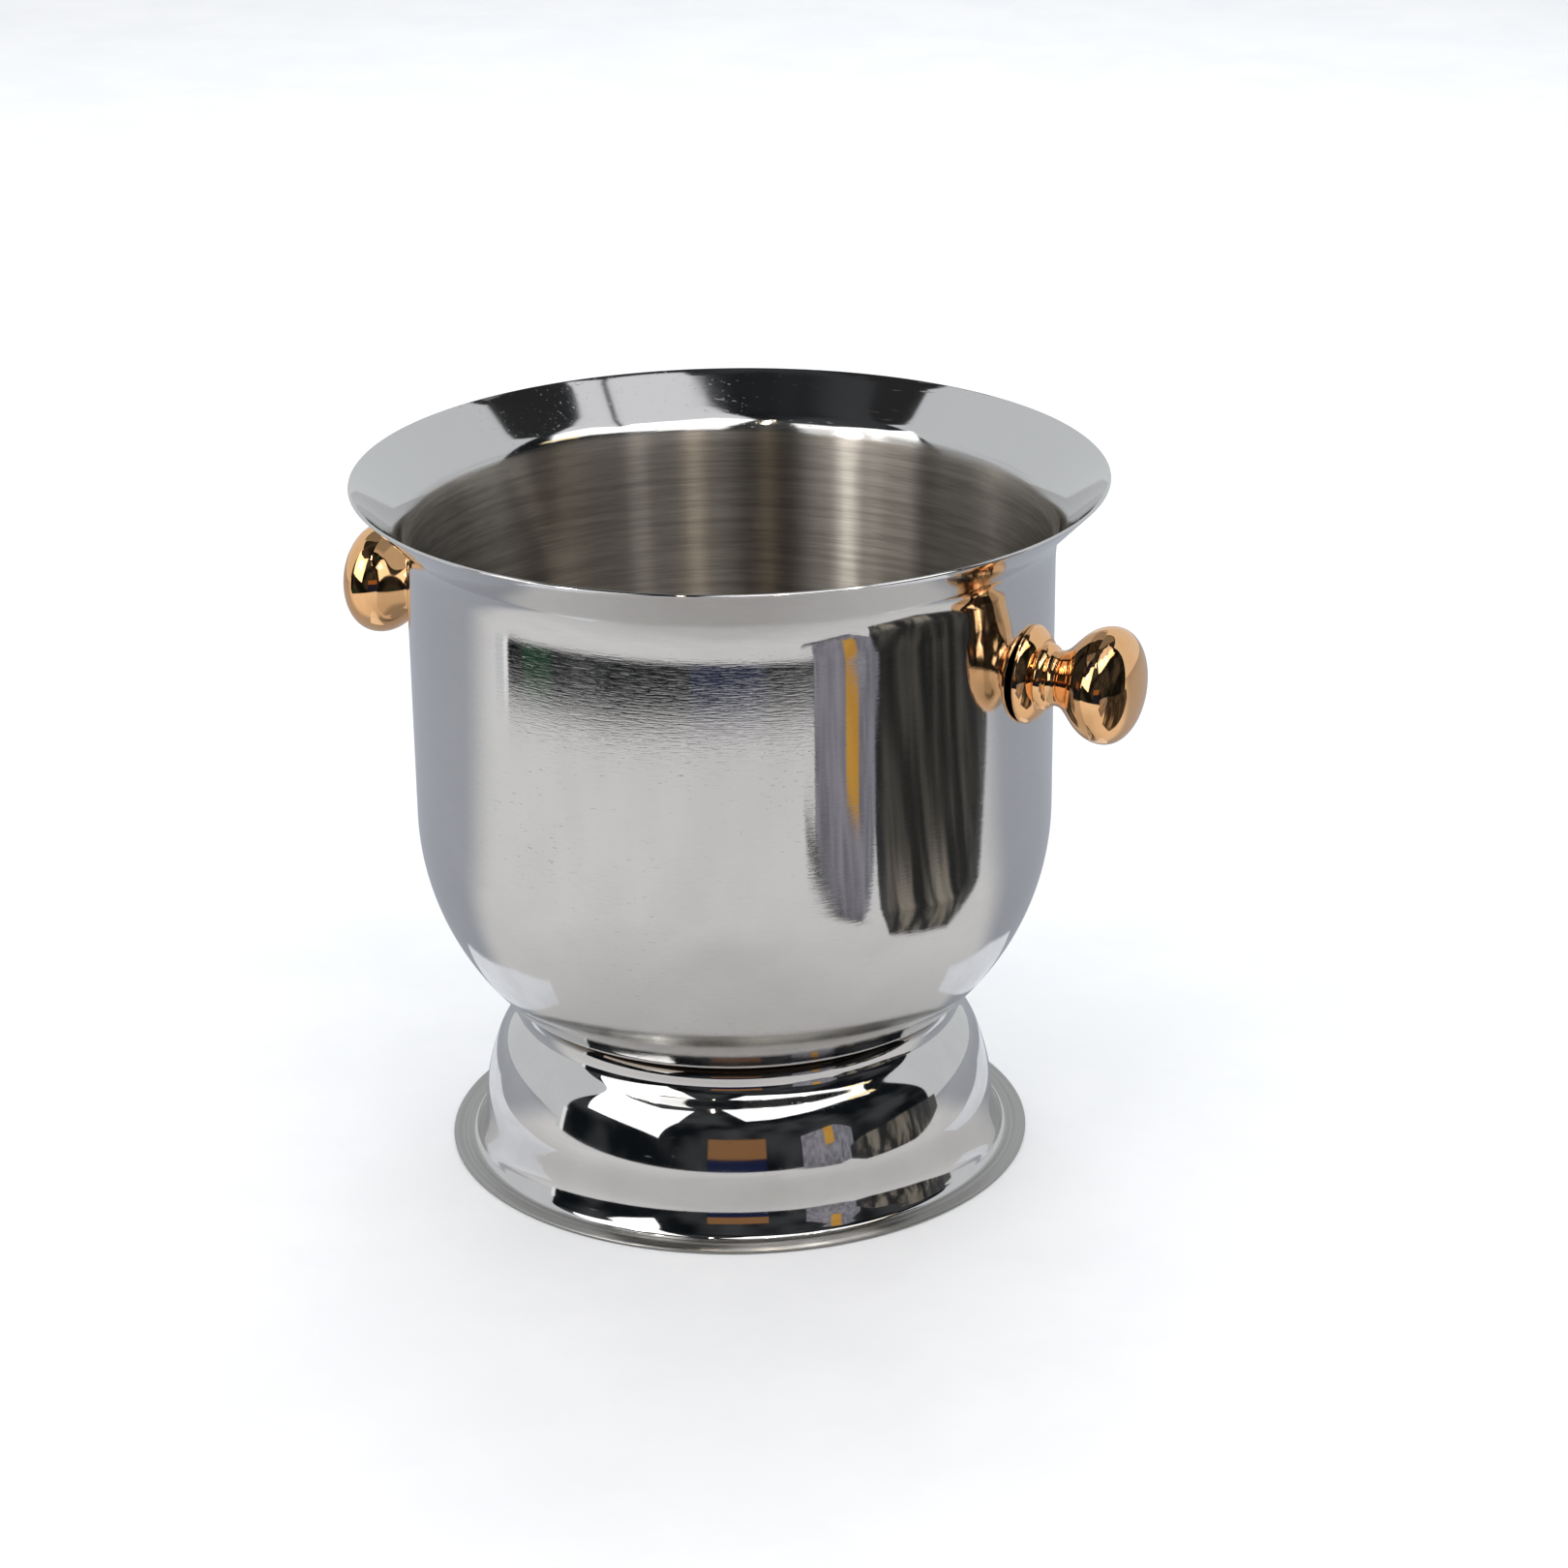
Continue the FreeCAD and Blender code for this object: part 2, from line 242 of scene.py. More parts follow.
def three_point(a, m, b, n):
    """Points on the arc through a, m and b."""
    ax, ay, mx, my, bx, by = *a, *m, *b
    d = 2 * (ax * (my - by) + mx * (by - ay) + bx * (ay - my))
    aa, mm, bb = ax * ax + ay * ay, mx * mx + my * my, bx * bx + by * by
    ux = (aa * (my - by) + mm * (by - ay) + bb * (ay - my)) / d
    uy = (aa * (bx - mx) + mm * (ax - bx) + bb * (mx - ax)) / d
    r = math.dist((ux, uy), a)
    t = [math.atan2(q[1] - uy, q[0] - ux) for q in (a, m, b)]
    for k in (1, 2):
        while t[k] - t[k - 1] > math.pi:
            t[k] -= 2 * math.pi
        while t[k] - t[k - 1] < -math.pi:
            t[k] += 2 * math.pi
    return [(ux + r * math.cos(t[0] + (t[2] - t[0]) * k / n),
             uy + r * math.sin(t[0] + (t[2] - t[0]) * k / n)) for k in range(n + 1)]


head_pts = spline(HEAD, (-0.25, 1), (-1, 0), 5)
dome = three_point((14.25, 0.9), (12.6, 3.1), (10.5, 4.6), 12)
bead = three_point((9.75, 5.0), (9.35, 6.4), (8.15, 7.6), 8)
knob_pts = joined(BACK_EDGE, dome, GROOVE, bead, head_pts)
knob_pts[-1] = (TIP_R, KNOB_LEN)


def make_knob(name, turn):
    """A knob on the +X side, or turned round to the -X side."""
    k = outward(lathe(name, knob_pts, KNOB_STEPS, closed=False, centre=(KNOB_BACK, 0, 0), along_x=True))
    k.data.transform(Matrix.Translation((0, 0, KNOB_Z * MM)))
    if turn:
        k.data.transform(Matrix.Rotation(math.pi, 4, "Z"))
    return k


knob_r = make_knob("knob_right_body", False)
knob_l = make_knob("knob_left_body", True)

for obj, node, slot in ((bowl, "bowl", "polished_steel"), (foot, "foot", "foot_steel"),
                        (knob_r, "knob_right", "copper_plate"), (knob_l, "knob_left", "copper_plate")):
    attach(obj, "root")
    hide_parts(node)


# ---- materials -----------------------------------------------------------------------------------
class Graph:
    """Builds one node material step by step."""

    def __init__(self, name):
        self.mat = bpy.data.materials.new(name)
        self.mat.use_nodes = True
        self.tree = self.mat.node_tree
        self.tree.nodes.clear()

    def add(self, kind, inputs=None, **props):
        n = self.tree.nodes.new(kind)
        for key, value in props.items():
            setattr(n, key, value)
        for key, value in (inputs or {}).items():
            if isinstance(value, bpy.types.NodeSocket):
                self.tree.links.new(value, n.inputs[key])
            else:
                n.inputs[key].default_value = value
        return n

    def math(self, op, a, b=0.0, c=0.0):
        return self.add("ShaderNodeMath", {0: a, 1: b, 2: c}, operation=op).outputs[0]

    def blend(self, a, much_a, b, much_b):
        """Weighted sum of two values."""
        return self.math("ADD", self.math("MULTIPLY", a, much_a), self.math("MULTIPLY", b, much_b))

    def ramp(self, value, lo, hi, a=0.0, b=1.0):
        """Smooth change from a to b while value goes from lo to hi."""
        return self.add("ShaderNodeMapRange", {"Value": value, "From Min": lo, "From Max": hi, "To Min": a,
                                               "To Max": b}, interpolation_type="SMOOTHSTEP").outputs[0]

    def mix(self, fac, a, b):
        """Number a where fac is 0, b where it is 1."""
        return self.add("ShaderNodeMix", {0: fac, 2: a, 3: b}, data_type="FLOAT").outputs[0]

    def tint(self, fac, a, b):
        """Colour a where fac is 0, b where it is 1."""
        return self.add("ShaderNodeMix", {0: fac, 6: a, 7: b}, data_type="RGBA").outputs[2]

    def place(self):
        """Reads the place on the object."""
        xyz = self.add("ShaderNodeTexCoord").outputs["Object"]
        s = self.add("ShaderNodeSeparateXYZ", {0: xyz})
        self.xyz, self.x, self.y, self.z = xyz, s.outputs[0], s.outputs[1], s.outputs[2]
        return self

    def radius(self, a, b):
        return self.math("SQRT", self.math("ADD", self.math("MULTIPLY", a, a), self.math("MULTIPLY", b, b)))

    def noise(self, vec, scale, detail=2.0, rough=0.5):
        return self.add("ShaderNodeTexNoise", {"Vector": vec, "Scale": scale, "Detail": detail,
                                               "Roughness": rough}).outputs["Fac"]

    def stretched(self, a, b, across, along, fine, seed=0.0, detail=1.5):
        """Noise drawn out along the turning direction: along and fine are in marks per metre."""
        v = self.add("ShaderNodeCombineXYZ", {0: self.math("MULTIPLY", a, along),
                                              1: self.math("MULTIPLY", b, along),
                                              2: self.math("MULTIPLY_ADD", across, fine, seed)}).outputs[0]
        return self.noise(v, 1.0, detail, 0.55)

    def hairs(self, turn, long, thin, seed, cut=0.72):
        """Sparse hairline scratches in one direction."""
        v = self.add("ShaderNodeMapping", {"Vector": self.xyz, "Rotation": turn, "Scale": (long, thin, thin),
                                           "Location": (seed, seed, seed)}, vector_type="POINT").outputs[0]
        return self.ramp(self.noise(v, 1.0, 1.0, 0.4), cut, cut + 0.05)

    def bump(self, height, distance):
        ins = {"Height": height, "Distance": distance, "Strength": 1.0}
        return self.add("ShaderNodeBump", ins).outputs[0]

    def metal(self, color, rough, normal, anisotropy=0.0, axis=None, metallic=1.0):
        """Ends the material. Anisotropy draws reflections out across marks that run around the axis."""
        ins = {"Base Color": color, "Roughness": rough, "Metallic": metallic, "Normal": normal}
        if anisotropy:
            ins["Anisotropic"] = anisotropy
            ins["Anisotropic Rotation"] = 0.25
            ins["Tangent"] = self.add("ShaderNodeTangent", direction_type="RADIAL", axis=axis).outputs[0]
        p = self.add("ShaderNodeBsdfPrincipled", ins)
        self.add("ShaderNodeOutputMaterial", {0: p.outputs[0]})
        return self.mat


def polished_outside():
    """Mirror steel with turning marks, pits and scratches; clearer on the flare."""
    g = Graph("steel_polished").place()
    r = g.radius(g.x, g.y)
    across = g.math("ADD", g.z, r)
    fine = g.stretched(g.x, g.y, across, 260, 2200, 0.0, 2.5)
    broad = g.stretched(g.x, g.y, across, 90, 1100, 7.3)
    cloud = g.noise(g.xyz, 38.0, 3.0, 0.6)
    flare = g.ramp(g.z, 0.1850, 0.1915)
    pits = g.math("MULTIPLY", g.ramp(g.stretched(g.x, g.y, across, 420, 2100, 3.9, 1.0), 0.70, 0.76),
                  g.ramp(g.noise(g.xyz, 16.0, 2.0, 0.5), 0.48, 0.66))
    nicks = g.math("MAXIMUM", g.hairs((0.3, 0.9, 0.2), 60, 1500, 3.1, 0.76),
                   g.math("MAXIMUM", g.hairs((0.1, -1.1, 1.4), 70, 1700, 9.7, 0.77),
                          g.hairs((0.0, 1.45, 0.4), 50, 1400, 5.2, 0.77)))
    body_rough = g.math("ADD", g.ramp(fine, 0.3, 0.7, 0.03, 0.06), g.ramp(cloud, 0.35, 0.7, 0.0, 0.012))
    body_rough = g.mix(g.ramp(g.z, 0.056, 0.068, 1.0, 0.0), body_rough, 0.05)
    rough = g.mix(flare, body_rough, g.ramp(cloud, 0.3, 0.7, 0.045, 0.075))
    rough = g.math("MULTIPLY_ADD", nicks, 0.10, rough)
    height = g.blend(fine, g.mix(flare, 1.9, 0.12), broad, g.mix(flare, 0.25, 0.2))
    height = g.math("MULTIPLY_ADD", g.math("MAXIMUM", nicks, pits), -0.9, height)
    color = g.tint(g.ramp(g.blend(fine, 0.6, cloud, 0.4), 0.3, 0.7),
                   (0.645, 0.638, 0.628, 1), (0.685, 0.678, 0.668, 1))
    color = g.tint(g.math("MULTIPLY", pits, 0.45), color, (0.16, 0.15, 0.14, 1))
    # painted shade: the bowl's lowest part, in the gap just above the foot, is tinted near black
    painted_gap_shade = g.ramp(g.math("MULTIPLY_ADD", cloud, 0.0004, g.z), 0.0492, 0.0499, 1.0, 0.0)
    color = g.tint(painted_gap_shade, color, (0.06, 0.052, 0.045, 1))
    return g.metal(color, rough, g.bump(height, 5.5e-6), 0.95, "Z")


def satin_inside():
    """Brushed steel inside the bowl that turns into a mirror on the flare; the brushed part carries painted
    shade.
    """
    g = Graph("steel_satin_inside").place()
    r = g.radius(g.x, g.y)
    across = g.math("ADD", g.z, r)
    fine = g.stretched(g.x, g.y, across, 100, 2900, 1.7, 3.0)
    broad = g.stretched(g.x, g.y, across, 18, 600, 4.4)
    flare = g.ramp(g.math("MULTIPLY_ADD", broad, 0.003, g.z), 0.1920, 0.1955)
    nicks = g.math("MAXIMUM", g.hairs((0.2, 0.8, 1.2), 55, 1300, 2.3, 0.71),
                   g.hairs((0.9, -0.3, 0.5), 65, 1400, 6.6, 0.72))
    cloud = g.noise(g.xyz, 30.0, 3.0, 0.6)
    height = g.blend(fine, g.mix(flare, 8.0, 0.1), broad, g.mix(flare, 1.8, 0.2))
    height = g.math("MULTIPLY_ADD", nicks, -0.9, height)
    normal = g.bump(height, 3.6e-6)
    # painted shade: the brushed steel's colour is set darker and browner than the flare's mirror steel; its
    # light and dark lines are the brushing
    lines = g.ramp(g.blend(fine, 0.5, broad, 0.5), 0.35, 0.65)
    brushed = g.add("ShaderNodeBsdfAnisotropic", {
        "Color": g.tint(lines, (0.33, 0.30, 0.262, 1), (0.47, 0.43, 0.385, 1)),
        "Roughness": g.ramp(fine, 0.3, 0.7, 0.29, 0.36), "Anisotropy": 0.8, "Rotation": 0.0, "Normal": normal,
        "Tangent": g.add("ShaderNodeTangent", direction_type="RADIAL", axis="Z").outputs[0]},
        distribution="GGX").outputs[0]
    bright = g.add("ShaderNodeBsdfPrincipled", {
        "Base Color": g.tint(cloud, (0.65, 0.645, 0.635, 1), (0.68, 0.675, 0.665, 1)),
        "Roughness": g.math("MULTIPLY_ADD", nicks, 0.14, g.ramp(cloud, 0.3, 0.7, 0.05, 0.08)),
        "Metallic": 1.0, "Normal": normal}).outputs[0]
    both = g.add("ShaderNodeMixShader", {0: flare, 1: brushed, 2: bright})
    g.add("ShaderNodeOutputMaterial", {0: both.outputs[0]})
    return g.mat


def mirror_foot():
    """Mirror steel with a satin flange, and painted shade at the top where it meets the bowl."""
    g = Graph("steel_foot").place()
    r = g.radius(g.x, g.y)
    across = g.math("SUBTRACT", g.z, r)
    fine = g.stretched(g.x, g.y, across, 150, 3200, 2.2)
    rings = g.stretched(g.x, g.y, across, 12, 1500, 8.1)
    flange = g.math("MULTIPLY", g.ramp(g.z, 0.0013, 0.0016, 1.0, 0.0), g.ramp(r, 0.0805, 0.0815))
    specks = g.ramp(g.noise(g.xyz, 1300.0, 1.0, 0.5), 0.80, 0.84)
    nicks = g.math("MAXIMUM", g.hairs((0.4, 0.9, 0.7), 90, 1700, 1.3, 0.76),
                   g.hairs((1.3, -0.6, 0.1), 80, 1600, 4.9, 0.76))
    cloud = g.noise(g.xyz, 55.0, 3.0, 0.6)
    rough = g.mix(flange, g.ramp(cloud, 0.3, 0.7, 0.035, 0.065), g.ramp(rings, 0.3, 0.7, 0.27, 0.36))
    rough = g.math("MULTIPLY_ADD", g.math("MAXIMUM", nicks, specks), 0.12, rough)
    height = g.blend(fine, 0.22, rings, g.mix(flange, 0.15, 1.3))
    height = g.math("MULTIPLY_ADD", g.math("MAXIMUM", nicks, specks), -1.0, height)
    color = g.tint(g.ramp(cloud, 0.3, 0.7), (0.645, 0.637, 0.625, 1), (0.685, 0.677, 0.665, 1))
    satin = g.tint(g.ramp(rings, 0.3, 0.7), (0.36, 0.355, 0.34, 1), (0.45, 0.445, 0.43, 1))
    color = g.tint(flange, color, satin)
    # painted shade: the top of the foot under the bowl is tinted dark brown, then near black at the very top
    painted_gap_shade = g.ramp(g.math("MULTIPLY_ADD", cloud, 0.0008, g.z), 0.0446, 0.0466)
    color = g.tint(painted_gap_shade, color, (0.16, 0.13, 0.105, 1))
    color = g.tint(g.ramp(g.z, 0.0464, 0.0472), color, (0.035, 0.03, 0.026, 1))
    return g.metal(color, rough, g.bump(height, 3.0e-6), 0.35, "Z")


def copper_knob():
    """Bright copper plating with slight waves and nicks."""
    g = Graph("copper_plate").place()
    zk = g.math("SUBTRACT", g.z, KNOB_Z * MM)
    turned = g.stretched(g.y, zk, g.x, 160, 3000, 5.0)
    cloud = g.noise(g.xyz, 110.0, 3.0, 0.6)
    wave = g.noise(g.xyz, 260.0, 1.0, 0.5)
    nicks = g.math("MAXIMUM", g.hairs((0.6, 0.4, 1.0), 120, 2000, 2.7, 0.77),
                   g.hairs((0.1, 1.2, 0.3), 110, 2100, 8.8, 0.77))
    rough = g.math("MULTIPLY_ADD", nicks, 0.10, g.ramp(cloud, 0.3, 0.7, 0.03, 0.06))
    height = g.blend(turned, 0.15, wave, 1.6)
    height = g.math("MULTIPLY_ADD", nicks, -0.8, height)
    color = g.tint(g.ramp(cloud, 0.3, 0.7), (0.97, 0.545, 0.255, 1), (0.99, 0.60, 0.30, 1))
    return g.metal(color, rough, g.bump(height, 3.0e-6))


def machined_steel():
    """Plain turned steel of the hidden fixings."""
    g = Graph("steel_machined").place()
    r = g.radius(g.x, g.y)
    cut = g.stretched(g.x, g.y, g.math("ADD", g.z, r), 200, 4200, 1.1)
    grain = g.noise(g.xyz, 900.0, 3.0, 0.6)
    rough = g.ramp(g.blend(cut, 0.5, grain, 0.5), 0.35, 0.65, 0.22, 0.38)
    height = g.math("ADD", cut, g.math("MULTIPLY", grain, 0.6))
    color = g.tint(g.ramp(grain, 0.35, 0.65), (0.56, 0.555, 0.545, 1), (0.66, 0.655, 0.645, 1))
    return g.metal(color, rough, g.bump(height, 6.0e-6))


def black_rubber():
    """Matt black rubber with a little dust."""
    g = Graph("rubber_black").place()
    grain = g.noise(g.xyz, 2600.0, 3.0, 0.6)
    dust = g.ramp(g.noise(g.xyz, 300.0, 2.0, 0.6), 0.55, 0.75)
    color = g.tint(dust, (0.018, 0.018, 0.019, 1), (0.040, 0.039, 0.038, 1))
    return g.metal(color, g.ramp(grain, 0.3, 0.7, 0.62, 0.85), g.bump(grain, 2.5e-5), metallic=0.0)


outside, inside = polished_outside(), satin_inside()
bowl.data.materials.append(outside)
bowl.data.materials.append(inside)
flags = np.zeros(len(bowl.data.vertices))
bowl.data.attributes["inside"].data.foreach_get("value", flags)
for poly in bowl.data.polygons:
    poly.material_index = 1 if min(flags[v] for v in poly.vertices) > 0.5 else 0
foot.data.materials.append(mirror_foot())
copper = copper_knob()
knob_r.data.materials.append(copper)
knob_l.data.materials.append(copper)

machined, rubber = machined_steel(), black_rubber()
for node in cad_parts:
    if node in ("bowl", "foot", "knob_right", "knob_left"):
        continue
    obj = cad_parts[node]
    look = rubber if "seal" in node else machined
    if not obj.material_slots:
        obj.data.materials.append(look)
    for s in obj.material_slots:
        s.material = look


# ---- floor, studio and camera --------------------------------------------------------------------
TURN = math.radians(26.7)          # the knobs' line against the camera's left-right line
FACE_CAMERA = Matrix.Rotation(TURN, 3, "Z")
MIDDLE = Vector((0.0, 0.0, 0.12))  # azimuths and elevations are taken about this point
# distances of the studio's sheets from the middle, metres
CORE_AT, LAMP_SMALL_AT, BOX_AT, DIM_BOX_AT = 0.9, 1.15, 1.2, 1.21
ROOM_AT, EDGE_AT, WALL_AT, FAR_AT = 1.5, 1.6, 1.9, 2.4
LOW = -35                          # elevation of the lower edge of the walls, degrees
# radius of the table the metal sees, how much it grows to the right, and its reach behind
TABLE_R, TABLE_GROWS, ROOM_R, FLOOR_R = 520.0, 14.0, 1850.0, 9000


def towards(az, el, dist):
    """Point at an azimuth (0 faces the camera, + to its right) and elevation, dist metres away."""
    a, e = math.radians(az), math.radians(el)
    v = Vector((math.sin(a) * math.cos(e), -math.cos(a) * math.cos(e), math.sin(e))) * dist
    return FACE_CAMERA @ v + MIDDLE


def on_table(x, y, z=0.0):
    """Point x across, y away and z up in millimetres, in the camera's frame."""
    return FACE_CAMERA @ Vector((x * MM, y * MM, z * MM))


def staged(name, verts, faces, mat, camera=False, glossy=True, diffuse=False, shadow=False):
    """Studio piece, by default seen only as a reflection in the metal."""
    mesh = bpy.data.meshes.new(name)
    mesh.from_pydata([tuple(v) for v in verts], [], faces)
    mesh.materials.append(mat)
    obj = bpy.data.objects.new(name, mesh)
    bpy.context.scene.collection.objects.link(obj)
    obj.visible_camera, obj.visible_glossy, obj.visible_diffuse = camera, glossy, diffuse
    obj.visible_shadow = shadow
    obj.visible_transmission = False
    return obj


def glow(name, color, strength):
    """Plain light of one colour."""
    g = Graph(name)
    e = g.add("ShaderNodeEmission", {"Color": (*color, 1), "Strength": strength})
    g.add("ShaderNodeOutputMaterial", {0: e.outputs[0]})
    return g.mat


def patch(name, outline, mat, z=-0.1, **flags):
    """A flat sheet on the table, its outline in millimetres across and away in the camera's frame."""
    v = [on_table(x, y, z) for x, y in outline]
    return staged(name, v, [tuple(range(len(v)))], mat, **flags)


def slab(name, outline, height, mat, **flags):
    """A low block standing on the table."""
    n = len(outline)
    v = [on_table(x, y) for x, y in outline]
    v += [q + Vector((0, 0, height * MM)) for q in v]
    f = [(k, (k + 1) % n, n + (k + 1) % n, n + k) for k in range(n)] + [tuple(range(n, 2 * n))]
    return staged(name, v, f, mat, **flags)


def upright(name, a, b, z0, z1, mat, **flags):
    """A standing sheet between two points of the table."""
    v = [on_table(*p, z) for p, z in ((a, z0), (b, z0), (b, z1), (a, z1))]
    return staged(name, v, [(0, 1, 2, 3)], mat, **flags)


def card(name, az0, az1, el0, el1, dist, mat, cols=12, rows=8, **flags):
    """A curved sheet that spans two azimuths and two elevations at one distance."""
    v = [towards(az0 + (az1 - az0) * i / cols, el0 + (el1 - el0) * j / rows, dist)
         for j in range(rows + 1) for i in range(cols + 1)]
    f = [(a, a + 1, a + cols + 2, a + cols + 1) for j in range(rows) for i in range(cols)
         for a in [j * (cols + 1) + i]]
    return staged(name, v, f, mat, **flags)


def panel(name, corners, dist, mat, **flags):
    """A flat-sided sheet through corners given as azimuth and elevation."""
    v = [towards(az, el, dist) for az, el in corners]
    return staged(name, v, [tuple(range(len(v)))], mat, **flags)


def matt(name, low, high, scale):
    """Dull surface, clouded between two colours."""
    g = Graph(name).place()
    n = g.noise(g.xyz, scale, 4.0, 0.6)
    color = g.tint(g.ramp(n, 0.35, 0.65), (*low, 1), (*high, 1))
    return g.metal(color, 0.8, g.bump(n, 2e-4), metallic=0.0)


def dusk(name, low, high, scale):
    """Faint uneven light of a dim room."""
    g = Graph(name).place()
    color = g.tint(g.ramp(g.noise(g.xyz, scale, 2.0, 0.5), 0.42, 0.68), (*low, 1), (*high, 1))
    e = g.add("ShaderNodeEmission", {"Color": color, "Strength": 1.0})
    g.add("ShaderNodeOutputMaterial", {0: e.outputs[0]})
    return g.mat


def streaked(name, low, high, marks):
    """Dull surface with streaks that point at the bucket, and a painted sheen that makes the end near it
    paler.
    """
    g = Graph(name).place()
    r = g.radius(g.x, g.y)
    turn = g.math("ARCTAN2", g.y, g.x)
    v = g.add("ShaderNodeCombineXYZ", {0: g.math("MULTIPLY", turn, marks), 1: g.math("MULTIPLY", r, 6.0),
                                       2: g.math("MULTIPLY", g.z, 20.0)}).outputs[0]
    n = g.noise(v, 1.0, 3.0, 0.6)
    color = g.tint(g.ramp(n, 0.40, 0.68), (*low, 1), (*high, 1))
    # painted sheen: a paler warm tone on the end of the block near the bucket
    painted_sheen = g.math("MULTIPLY", g.ramp(n, 0.45, 0.70), g.math("SUBTRACT", 1.0, g.ramp(r, 0.225, 0.300)))
    color = g.tint(painted_sheen, color, (0.26, 0.225, 0.18, 1))
    return g.metal(color, 0.6, g.bump(n, 2e-4), metallic=0.0)


def table_look():
    """Grey table, with painted shade that makes it bluer and darker beside and behind the bucket."""
    g = Graph("table_grey").place()
    n = g.noise(g.xyz, 9.0, 4.0, 0.6)
    color = g.tint(g.ramp(n, 0.35, 0.65), (0.60, 0.585, 0.575, 1), (0.64, 0.625, 0.615, 1))
    # painted shade: the table turns darker and bluer beside and behind the bucket
    facing = g.math("DIVIDE", g.blend(g.x, math.sin(TURN), g.y, -math.cos(TURN)), g.radius(g.x, g.y))
    color = g.tint(g.ramp(facing, -0.20, 0.10), (0.32, 0.33, 0.36, 1), color)
    return g.metal(color, 0.8, g.bump(n, 2e-4), metallic=0.0)


def table_rim():
    """Table edge in front and at the sides, and the far edge of the pale ground behind."""
    front = [(TABLE_R + TABLE_GROWS * max(0.0, min(1.0, (az + 45) / 50.0)), az) for az in range(-84, 94, 3)]
    behind = [(ROOM_R, az) for az in range(93, 277, 6)]
    return [(d * math.sin(math.radians(az)), -d * math.cos(math.radians(az))) for d, az in front + behind]


# the camera sees a plain pale floor; the metal sees a smaller grey table with a dim room past its edge
patch("floor", [(-FLOOR_R, -FLOOR_R), (FLOOR_R, -FLOOR_R), (FLOOR_R, FLOOR_R), (-FLOOR_R, FLOOR_R)],
      matt("pale_floor", (0.86, 0.862, 0.868), (0.89, 0.89, 0.892), 14.0), z=-0.2,
      camera=True, glossy=False, diffuse=True, shadow=True)
patch("table", table_rim(), table_look())

# walls and the dim room
wall = glow("wall_glow", (0.94, 0.97, 1.0), 0.74)
wall_high = glow("wall_high_glow", (0.94, 0.97, 1.0), 0.22)
dim_room = dusk("room_dim", (0.006, 0.008, 0.010), (0.055, 0.058, 0.062), 0.9)
card("wall_right", 93, 126, LOW, 50, WALL_AT, wall)
card("wall_back", 126, 234, LOW, 50, WALL_AT, wall, 30, 20)
card("wall_back_high", 118, 242, 52, 88, WALL_AT, wall_high, 30, 12)
card("wall_left", 234, 276, LOW, 57, WALL_AT, wall)
card("room_dim", -84, 93, LOW, 88, FAR_AT, dim_room, 30, 20)

# softboxes, as corners in azimuth and elevation
soft = glow("softbox_glow", (1.0, 1.0, 1.0), 1.9)
dim_soft = glow("softbox_dim", (0.95, 0.95, 1.0), 0.92)
panel("box_left", [(-74, 15), (-36, 5), (-30, 30), (-29, 53), (-48, 49), (-76, 49), (-90, 51)], BOX_AT, soft)
panel("box_right_low", [(-14, 60), (3, 38), (17, 39), (40, 43), (61, 45), (77, 40), (85, 51), (80, 59),
                        (54, 56), (30, 64), (8, 66)], BOX_AT, soft)
panel("box_right_high", [(-14, 60), (4, 78), (35, 79), (58, 82), (91.5, 72.3), (78.6, 69.4), (52.8, 57),
                         (30, 60), (8, 62)], DIM_BOX_AT, dim_soft)
panel("box_right_side", [(54, 56.2), (80, 68.6), (93, 71.4), (108, 67), (91, 65), (93, 61), (86, 50),
                         (70, 50)], DIM_BOX_AT, dim_soft)
card("edge_line", -85, -83, LOW, 4, EDGE_AT, glow("edge_line_glow", (1.0, 1.0, 1.0), 1.05), 1, 4)

# bright strips in front of the softboxes, which draw the light columns inside the bowl
core = glow("softbox_core", (1.0, 0.99, 0.97), 26.0)
core_far = glow("softbox_core_far", (1.0, 0.98, 0.95), 8.0)
core_right = glow("softbox_core_right", (1.0, 0.97, 0.93), 22.0)
warm = glow("strip_warm", (1.0, 0.88, 0.72), 30.0)
panel("core_left", [(-50.5, 28), (-45.5, 28), (-49, 43), (-54.5, 43)], CORE_AT, core)
panel("core_left_far", [(-61, 28), (-58, 28), (-62.5, 42), (-66, 42)], CORE_AT, core_far)
panel("core_right", [(41, 50), (44, 50), (50.5, 60), (47, 60)], CORE_AT, core_right)
panel("core_middle", [(14.7, 50), (17.8, 50), (20.2, 60), (16.6, 60)], CORE_AT, warm)
panel("core_corner", [(-17.4, 52), (-16.0, 52), (-19.4, 60), (-21.2, 60)], CORE_AT, warm)
panel("lamp_small", [(66, 46), (82, 43), (82, 40), (66, 43)], LAMP_SMALL_AT,
      glow("lamp_small_glow", (1.0, 0.80, 0.45), 1.6))

# coloured things in the dim room
card("room_green", -76, -64, LOW, -9, ROOM_AT, glow("room_green_glow", (0.010, 0.045, 0.020), 1.0))
card("room_blue", -14, 11, LOW, 0.6, ROOM_AT, glow("room_blue_glow", (0.012, 0.018, 0.055), 1.0))
card("room_tan", -14, 11, 0.8, 9.5, ROOM_AT, glow("room_tan_glow", (0.27, 0.135, 0.06), 1.0))

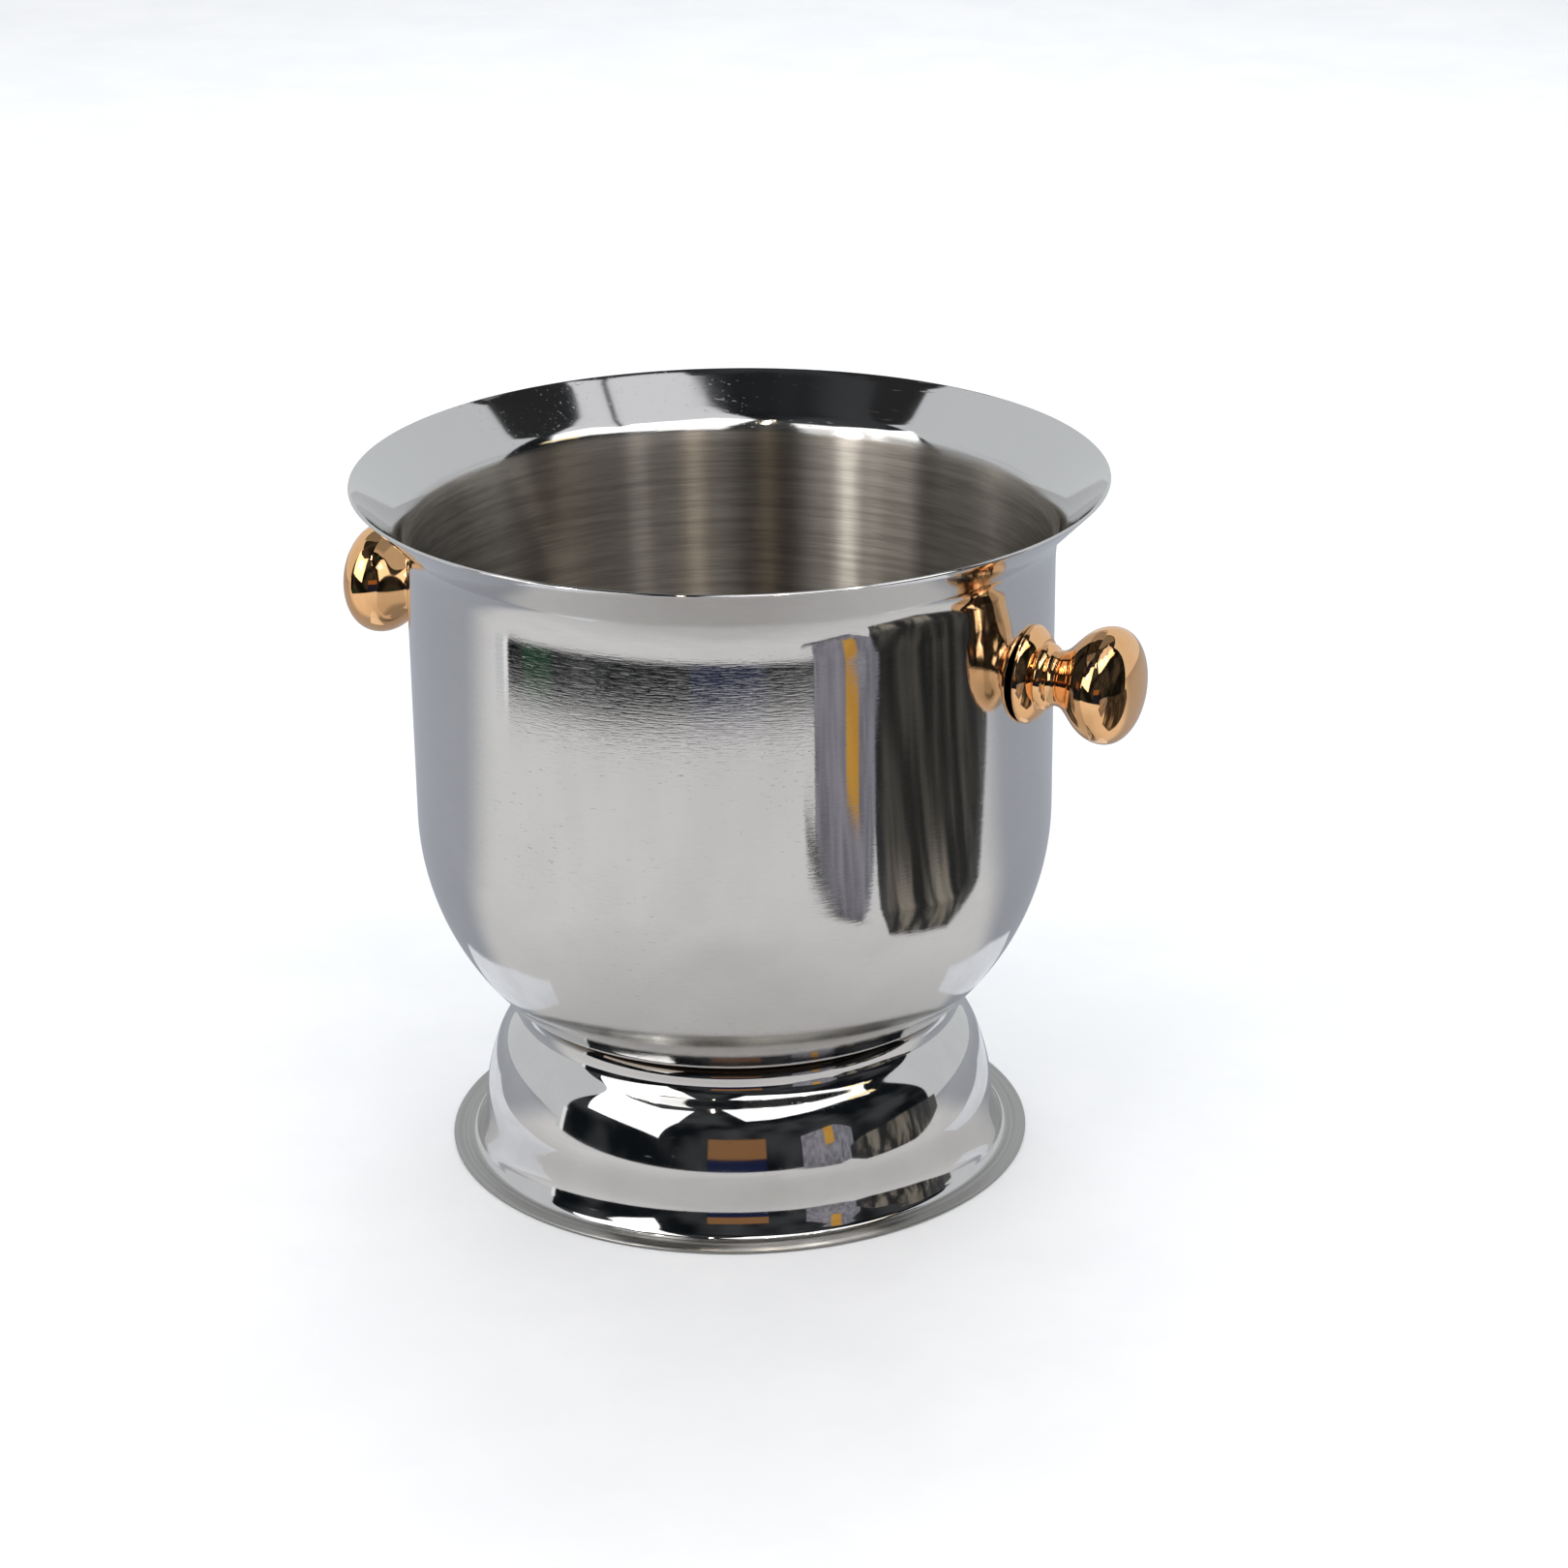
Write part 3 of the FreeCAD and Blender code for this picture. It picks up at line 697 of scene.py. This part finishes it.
# things standing on the table
slab("carton", [(177, -225), (170, -366), (300, -420), (346, -322), (230, -253)], 100,
     matt("carton_grey", (0.12, 0.12, 0.14), (0.30, 0.29, 0.33), 60.0))
upright("carton_front", (176.5, -223), (169, -366), 0, 100,
        matt("carton_pale", (0.14, 0.135, 0.155), (0.30, 0.285, 0.325), 45.0))
upright("carton_band", (175, -232), (174, -262), 50, 100,
        matt("carton_amber", (0.58, 0.27, 0.015), (0.64, 0.33, 0.03), 30.0))
patch("carton_shade", [(188, -198), (167, -232), (158, -290), (146, -353), (156, -398), (172, -372),
                       (177, -225)], matt("shade_dark", (0.02, 0.02, 0.02), (0.07, 0.07, 0.07), 40.0), z=0.4)
slab("dark_block", [(164, -152), (192, -74), (276, -44), (450, 14), (640, 14), (640, -580), (392, -400),
                    (245, -247)], 38,
     streaked("block_dark", (0.006, 0.006, 0.005), (0.060, 0.053, 0.042), 15.0))

# painted light: paler patches of table close to the foot, pools of light seen only in the metal
light_pool = matt("table_painted_light", (0.72, 0.73, 0.76), (0.80, 0.81, 0.84), 30.0)
patch("painted_light_left", [(-96, -46), (-118, -58), (-133, -22), (-138, 60), (-84, 80)], light_pool, z=0.3)
patch("painted_light_right", [(104, -26), (128, -34), (146, 20), (138, 70), (84, 84)], light_pool, z=0.3)


def lamp(name, at, size, power, color=(1, 1, 1)):
    """Area lamp aimed at the bucket and hidden from its reflections."""
    light = bpy.data.lights.new(name, "AREA")
    light.shape = "RECTANGLE"
    light.size, light.size_y = size
    light.energy, light.color = power, color
    obj = bpy.data.objects.new(name, light)
    obj.location = at
    obj.rotation_euler = (Vector((0, 0, 0.1)) - Vector(at)).to_track_quat("-Z", "Y").to_euler()
    obj.visible_glossy = False
    obj.visible_camera = False
    bpy.context.scene.collection.objects.link(obj)


lamp("lamp_left", towards(-54, 45, 1.6), (1.2, 1.2), 5)
lamp("lamp_right", towards(42, 50, 1.6), (1.6, 1.2), 6)
lamp("lamp_back", towards(175, 50, 1.8), (1.4, 1.0), 13, color=(0.90, 0.95, 1.0))

# pale all round for the floor, almost black for anything the metal reflects past the studio's sheets
world = bpy.data.worlds.new("studio")
bpy.context.scene.world = world
world.use_nodes = True
nt = world.node_tree
nt.nodes.clear()
ray = nt.nodes.new("ShaderNodeLightPath")
both = nt.nodes.new("ShaderNodeMixShader")
nt.links.new(ray.outputs["Is Glossy Ray"], both.inputs[0])
for k, (color, strength) in enumerate([((0.97, 0.98, 1.0, 1), 0.84), ((0.026, 0.026, 0.026, 1), 1.0)]):
    shade = nt.nodes.new("ShaderNodeBackground")
    shade.inputs["Color"].default_value = color
    shade.inputs["Strength"].default_value = strength
    nt.links.new(shade.outputs[0], both.inputs[k + 1])
world_out = nt.nodes.new("ShaderNodeOutputWorld")
nt.links.new(both.outputs[0], world_out.inputs[0])

CAMERA_AT = (0.52155, -1.03876, 0.5682)
CAMERA_RIGHT = (0.901051, 0.433582, -0.010665)
CAMERA_UP = (-0.149912, 0.334429, 0.930421)
CAMERA_BACK = (0.40698, -0.836758, 0.366337)
cam_data = bpy.data.cameras.new("camera")
cam_data.lens, cam_data.sensor_width = 96.60, 36.0
cam_data.clip_start, cam_data.clip_end = 0.05, 50.0
cam = bpy.data.objects.new("camera", cam_data)
rot = Matrix((CAMERA_RIGHT, CAMERA_UP, CAMERA_BACK)).transposed().to_4x4()
cam.matrix_world = Matrix.Translation(CAMERA_AT) @ rot
bpy.context.scene.collection.objects.link(cam)
bpy.context.scene.camera = cam
bpy.context.scene.view_settings.view_transform = "Standard"
bpy.context.scene.view_settings.look = "None"
